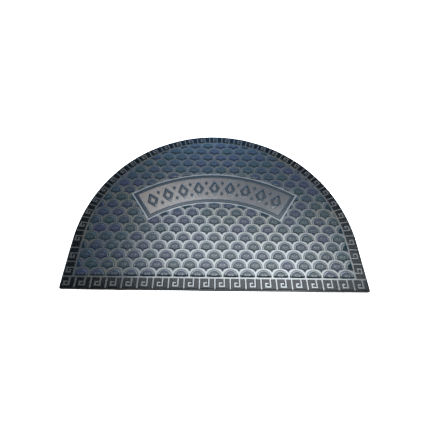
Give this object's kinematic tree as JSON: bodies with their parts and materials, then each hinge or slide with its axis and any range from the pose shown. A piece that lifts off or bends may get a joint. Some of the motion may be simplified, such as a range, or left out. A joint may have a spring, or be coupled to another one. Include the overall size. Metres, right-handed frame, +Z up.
{
  "type": "half round pvc doormat",
  "caption": "Half round PVC doormat with a pressed ribbed pile face: Greek key border, fish-scale field and an arched panel. Lies flat to wipe shoes on.",
  "frame": {"origin": "middle of the mat's bounding box, on its underside", "axes": "+X along the straight edge, +Y from the straight edge towards the round one, +Z up out of the pile"},
  "size_m": [0.6, 0.4, 0.0055],
  "materials": {
    "backing_pvc": "satin",
    "face_pile": "satin"
  },
  "bodies": {
    "root": {"backing": "backing_pvc", "face": "face_pile"}
  },
  "joints": []
}
